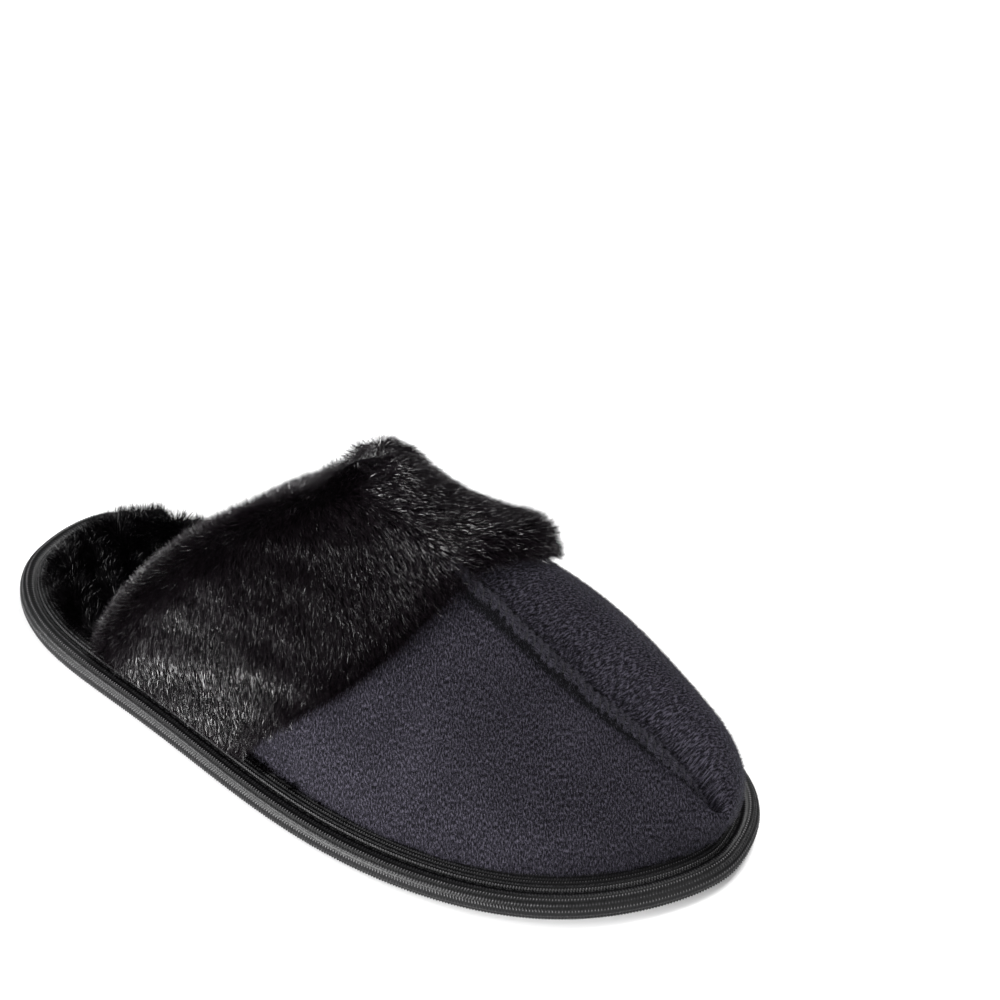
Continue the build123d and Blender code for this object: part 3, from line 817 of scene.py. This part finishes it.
def cuff_skin(columns):
    """Knitted base of the folded fur band: outside band, roll, turn into the throat."""
    v = np.linspace(-1, 1, columns)
    side = np.where(v < 0, LATERAL, MEDIAL)
    rise = 1 - np.abs(v)
    edge = upper(0.0, rise, side, WALL / 2, CUFF_BASE)
    ahead = upper(0.01, rise, side, WALL / 2, CUFF_BASE)
    back = unit(edge - ahead)
    from_crest = np.where(side > 0, rise - 0.7, 1.3 - rise)
    swell = ROLL_SWELL * np.exp(-(from_crest / ROLL_WIDTH) ** 2)
    wing = np.where(side > 0, WING_SWELL * np.exp(-((rise - WING_RISE) / WING_WIDTH) ** 2), 0)
    outside = upper(0.0, rise, side, -CUFF_LIFT - 0.6 * swell, CUFF_BASE) - edge
    inside = upper(0.0, rise, side, CUFF_UNDER, CUFF_BASE) - edge
    rows = []
    for w in np.linspace(0, 1, CUFF_ROWS):
        if w < BAND_SHARE:
            run = cuff_front(rise, side) * (1 - w / BAND_SHARE)
            up_band = w / BAND_SHARE
            puff = min(0.2 + 12 * up_band, BAND_PUFF) + BAND_BELLY * math.sin(math.pi * up_band)
            puff = puff + BAND_LUMPS * smooth_noise(v * 1.5, w, 21) * min(1.0, 8 * up_band)
            puff = puff + swell * np.clip((up_band - 0.15) / 0.4, 0, 1) ** 1.3 * (1 - 0.4 * up_band ** 6)
            puff = puff + wing * math.exp(-(up_band / WING_DEPTH) ** 2) * min(1.0, up_band * 25)
            rows.append(upper(run, rise, side, -puff, CUFF_BASE))
        elif w < ROLL_SHARE:
            angle = math.pi * (w - BAND_SHARE) / (ROLL_SHARE - BAND_SHARE)
            across = outside if angle < math.pi / 2 else inside
            reach = (ROLL_REACH + 0.3 * swell)[:, None] * math.sin(angle)
            rows.append(edge + across * abs(math.cos(angle)) + back * reach)
        else:
            run = CUFF_TURN_RUN * (w - ROLL_SHARE) / (1 - ROLL_SHARE)
            rows.append(upper(run, rise, side, CUFF_UNDER, CUFF_BASE))
    return np.stack(rows, axis=0)


def make_cuff():
    skin = cuff_skin(int(CUFF_COLUMNS * max(QUALITY, 0.6)) | 1)
    mesh = grid_mesh("cuff_backing", skin)
    new_object("cuff_backing", mesh, BACKING, ("fur_cuff",))

    rng = np.random.default_rng(7)
    rows, columns = skin.shape[:2]
    normal = grid_normals(skin)
    if normal[int(rows * 0.3), columns // 2, 2] < 0:
        normal = -normal
    w = np.linspace(0, 1, rows)[:, None] + np.zeros((1, columns))
    v = np.linspace(-1, 1, columns)[None, :] + np.zeros((rows, 1))
    forward = unit(-np.gradient(skin, axis=0))
    sideways = unit(np.gradient(skin, axis=1))
    down = sideways * np.sign(v)[..., None]
    comb = unit(forward + down * (0.2 + 0.7 * np.abs(v))[..., None])
    weight = np.where(w < BAND_SHARE, 1.0, np.where(w < ROLL_SHARE, 1.35, 0.7))
    count = int(CUFF_STRANDS * QUALITY)
    root, n, c, place = scatter(skin, [normal, comb, np.stack([w, v], -1)], count, rng, weight)
    n, c = unit(n), unit(c)
    on_band = np.clip((BAND_SHARE - place[:, 0]) / 0.12, 0, 1) * np.clip(place[:, 0] / 0.10, 0.25, 1)
    on_band = on_band[:, None]
    combed = np.clip((-place[:, 1:] - 0.45) / 0.3, 0, 1) * on_band
    stand = (1.25 - 0.70 * on_band) * (1 - 0.55 * combed)
    length = CUFF_PILE * (0.75 + 0.4 * rng.random((count, 1)))
    length *= 1 - 0.25 * (place[:, :1] > ROLL_SHARE)
    jitter = rng.normal(size=(count, 3)) * (0.22 - 0.06 * combed)
    start_way = unit(n * (stand + 0.35 * (1 - 0.6 * combed)) + c * 0.45 + jitter)
    end_way = unit(n * stand * 0.55 + c * (0.9 * on_band + 0.1) + jitter)
    bend = root + start_way * length * 0.5
    tip = bend + end_way * length * 0.55
    tip = gather(root, tip, TUFT_SIZE, TUFT_PULL, rng)
    tip[:, 2] = np.maximum(tip[:, 2], TAPE_TOP + PILE_CLEARANCE)
    widths = CUFF_STRAND_WIDTH * (0.7 + 0.6 * rng.random(count))
    strand_pieces("cuff_pile", root, bend, tip, widths, rng.random(count), rng, CUFF_FUR)


# ------------------------------------------------------------------ insole plush
RIM_HEIGHT = 9.0            # the plush is turned up along the heel's inner edge
RIM_INSET = 3.0
RIM_WIDTH = 6.0
RIM_CENTRE = 50.0
RIM_LENGTH = 29.0
PLUSH_ROWS, PLUSH_COLUMNS = 150, 61
PLUSH_RISE = 1.7            # keeps the base above the comfort foam
PLUSH_CROWN = 0.8
PLUSH_STRANDS = 115000
PLUSH_PILE = 5.4
RIM_PILE = 1.8              # extra length on the turned-up rim
PLUSH_STRAND_WIDTH = 0.16
PLUSH_TUFT_SIZE = 20.0
PLUSH_TUFT_PULL = 0.8
PLUSH_CLEARANCE = 0.3
SWIRL_SIZE = 45             # the plush lies in swirls of about this many millimetres


def plush_skin():
    """Base of the insole's plush, from edge to edge inside the binding."""
    rows, columns = PLUSH_ROWS, PLUSH_COLUMNS
    angle = np.linspace(0.02, math.pi - 0.02, rows)
    mx, my = outline(angle, MEDIAL, FLANGE_IN)
    lx, ly = outline(angle, LATERAL, FLANGE_IN)
    order_m, order_l = np.argsort(mx), np.argsort(lx)
    x = np.linspace(max(mx.min(), lx.min()) + 0.2, min(mx.max(), lx.max()) - 0.2, rows)
    y_medial = np.interp(x, mx[order_m], my[order_m])
    y_lateral = np.interp(x, lx[order_l], ly[order_l])
    t = np.linspace(0, 1, columns)[None, :]
    y = y_lateral[:, None] * (1 - t) + y_medial[:, None] * t
    across = np.abs(2 * t - 1)
    along = np.abs(2 * (x - x[0]) / (x[-1] - x[0]) - 1)[:, None]
    shoulder = (1 - across ** 30) * (1 - along ** 90)
    z = TAPE_TOP - 0.4 + PLUSH_RISE * shoulder + PLUSH_CROWN * (1 - across ** 8) * (1 - along ** 24)
    z = z + 0.2 * smooth_noise(x[:, None] / 60, t, 9)
    from_rim = (y_medial[:, None] - y - RIM_INSET) / RIM_WIDTH
    stretch = (x[:, None] + HALF_LENGTH - RIM_CENTRE) / RIM_LENGTH
    z = z + RIM_HEIGHT * np.exp(-from_rim ** 2 - stretch ** 4) * (1 - across ** 30)
    return np.stack([x[:, None] + np.zeros_like(t), y, z], axis=-1)


def make_insole():
    skin = plush_skin()
    mesh = grid_mesh("insole_backing", skin)
    piece = new_object("insole_backing", mesh, BACKING, ("insole_plush",))
    rng = np.random.default_rng(12)
    normal = grid_normals(skin)
    normal *= np.sign(normal[..., 2:3])
    count = int(PLUSH_STRANDS * QUALITY)
    weight = np.clip((THROAT_X - HALF_LENGTH + 30 - skin[..., 0]) / 30, 0.0, 1.0)
    root, n = scatter(skin, [normal], count, rng, weight)
    swirl = np.stack([
        smooth_noise(root[:, 0] / SWIRL_SIZE, root[:, 1] / SWIRL_SIZE, 31),
        smooth_noise(root[:, 0] / SWIRL_SIZE, root[:, 1] / SWIRL_SIZE, 32), 0 * root[:, 0]], axis=-1)
    rim = np.clip((n[:, 1:2] - 0.1) * 3, 0, 1) * (root[:, :1] < -40)
    length = (PLUSH_PILE + RIM_PILE * rim) * (0.65 + 0.5 * rng.random((count, 1)))
    jitter = rng.normal(size=(count, 3)) * 0.3
    start_way = unit(n + 0.25 * swirl + jitter)
    end_way = unit(n * 0.7 + 0.75 * swirl + jitter)
    bend = root + start_way * length * 0.5
    tip = bend + end_way * length * 0.5
    tip = gather(root, tip, PLUSH_TUFT_SIZE, PLUSH_TUFT_PULL, rng)
    tip[:, 2] = np.maximum(tip[:, 2], TAPE_TOP + PLUSH_CLEARANCE)
    widths = PLUSH_STRAND_WIDTH * (0.7 + 0.6 * rng.random(count))
    strand_pieces("insole_pile", root, bend, tip, widths, rng.random(count), rng, PLUSH_FUR)


# ------------------------------------------------------------------ lining
LINING_ROWS, LINING_COLUMNS = 120, 80
LINING_STRANDS = 42000
LINING_PILE = 4.2
LINING_TUFT_SIZE = 12.0
LINING_TUFT_PULL = 0.5


def make_lining(side, name, replaces):
    run, rise = np.meshgrid(
        np.linspace(0, 1, LINING_ROWS), np.linspace(0, 1, LINING_COLUMNS), indexing="ij")
    outer = upper(run, rise, side, PANEL_THICKNESS + 0.3)
    lumps = 0.35 * smooth_noise(run * 4, rise * 4, 17 + side)
    inner = upper(run, rise, side, WALL - 0.4 + lumps)
    mesh = shell_mesh(name, outer, inner, flip=side == LATERAL)
    make_lining_pile(name + "_pile", inner, outer, run, 40 + side)
    new_object(name, mesh, BACKING, replaces)


def make_lining_pile(name, inner, outer, run, seed):
    """Short plush on the inside of the upper, thinning out towards the unseen toe."""
    rng = np.random.default_rng(seed)
    inward = unit(inner - outer)
    backward = unit(-np.gradient(inner, axis=0))
    count = int(LINING_STRANDS * QUALITY)
    root, n, c = scatter(inner, [inward, backward], count, rng, np.clip(1.1 - run, 0.1, 1) ** 2)
    length = LINING_PILE * (0.7 + 0.5 * rng.random((count, 1)))
    jitter = rng.normal(size=(count, 3)) * 0.3
    bend = root + unit(unit(n) + 0.3 * unit(c) + jitter) * length * 0.5
    tip = bend + unit(unit(n) * 0.6 + 0.6 * unit(c) + jitter) * length * 0.5
    tip = gather(root, tip, LINING_TUFT_SIZE, LINING_TUFT_PULL, rng)
    tip[:, 2] = np.maximum(tip[:, 2], TAPE_TOP + PILE_CLEARANCE)
    widths = PLUSH_STRAND_WIDTH * (0.7 + 0.6 * rng.random(count))
    strand_pieces(name, root, bend, tip, widths, rng.random(count), rng, PLUSH_FUR)


# ------------------------------------------------------------------ hidden layers and outsole
def dress_cad_nodes():
    looks = {
        "outsole": ((0.010, 0.010, 0.011), (0.022, 0.022, 0.024), 700, 0.7, 0.0003),
        "midsole_foam": ((0.07, 0.07, 0.07), (0.12, 0.12, 0.12), 1500, 0.9, 0.0002),
        "insole_board": ((0.22, 0.16, 0.10), (0.36, 0.28, 0.2), 900, 0.85, 0.0001),
        "comfort_foam": ((0.6, 0.56, 0.42), (0.75, 0.72, 0.6), 1800, 0.95, 0.0003),
    }
    for node, look in looks.items():
        material = grain_material("outsole_rubber" if node == "outsole" else node, *look)
        piece = bpy.data.objects[node]
        for slot in piece.material_slots:
            slot.material = material


# ------------------------------------------------------------------ stage, light, camera
FLOOR_HALF = 3.0
CAMERA_DISTANCE = 1.3
CAMERA_ELEVATION = math.radians(42.0)
CAMERA_AZIMUTH = math.radians(-55.02)
CAMERA_ROLL = math.radians(-3.0)
CAMERA_TARGET = (-0.0191, 0.1071, 0.0)
CAMERA_LENS = 144.5


def make_stage():
    size = FLOOR_HALF
    mesh = bpy.data.meshes.new("floor")
    mesh.from_pydata(
        [(-size, -size, 0), (size, -size, 0), (size, size, 0), (-size, size, 0)], [], [(0, 1, 2, 3)])
    floor = bpy.data.objects.new("floor", mesh)
    bpy.context.scene.collection.objects.link(floor)
    material = node_material("floor_white", (0.9, 0.9, 0.9), 0.9, 0.1)[0]
    mesh.materials.append(material)


def add_light(name, place, target, size, power):
    data = bpy.data.lights.new(name, "AREA")
    data.shape = "RECTANGLE"
    data.size, data.size_y = size
    data.energy = power
    light = bpy.data.objects.new(name, data)
    light.location = place
    light.rotation_euler = (Vector(target) - Vector(place)).to_track_quat("-Z", "Y").to_euler()
    bpy.context.scene.collection.objects.link(light)


def make_lights():
    world = bpy.data.worlds.new("studio")
    world.use_nodes = True
    background = world.node_tree.nodes["Background"]
    background.inputs["Color"].default_value = (1.0, 1.0, 1.0, 1)
    background.inputs["Strength"].default_value = 0.30
    bpy.context.scene.world = world
    centre = (0.0, 0.0, 0.03)
    add_light("key_softbox", (0.2, 0.9, 1.4), centre, (0.8, 0.7), 31.0)
    add_light("side_softbox", (-0.9, -0.7, 1.2), centre, (0.8, 0.6), 12.0)
    add_light("low_strip", (-0.55, -1.1, 0.25), (-0.03, -0.03, 0.03), (0.9, 0.3), 40.0)
    add_light("front_softbox", (1.0, -0.5, 0.7), centre, (0.5, 0.5), 6.0)


def make_camera():
    """Three-quarter view from the toe's outer side, looking down at 42 degrees."""
    away = Vector((
        math.cos(CAMERA_ELEVATION) * math.cos(CAMERA_AZIMUTH),
        math.cos(CAMERA_ELEVATION) * math.sin(CAMERA_AZIMUTH),
        math.sin(CAMERA_ELEVATION)))
    data = bpy.data.cameras.new("camera")
    data.sensor_width = 36.0
    data.lens = CAMERA_LENS
    camera = bpy.data.objects.new("camera", data)
    camera.location = Vector(CAMERA_TARGET) + away * CAMERA_DISTANCE
    facing = (-away).to_track_quat("-Z", "Y")
    camera.rotation_euler = (facing @ Euler((0, 0, CAMERA_ROLL)).to_quaternion()).to_euler()
    bpy.context.scene.collection.objects.link(camera)
    bpy.context.scene.camera = camera


make_camera()
make_stage()
make_lights()
make_binding()
make_binding_stitches()
make_vamp_panel(LATERAL, "padded_vamp_lateral", ("vamp_panel_lateral", "vamp_foam_lateral"))
make_vamp_panel(MEDIAL, "padded_vamp_medial", ("vamp_panel_medial", "vamp_foam_medial"))
make_whip_stitches(*make_seam_ridge())
make_cuff()
make_insole()
make_lining(LATERAL, "plush_lining_lateral", ("vamp_lining_lateral",))
make_lining(MEDIAL, "plush_lining_medial", ("vamp_lining_medial",))
dress_cad_nodes()

bpy.context.scene.view_settings.view_transform = "Standard"
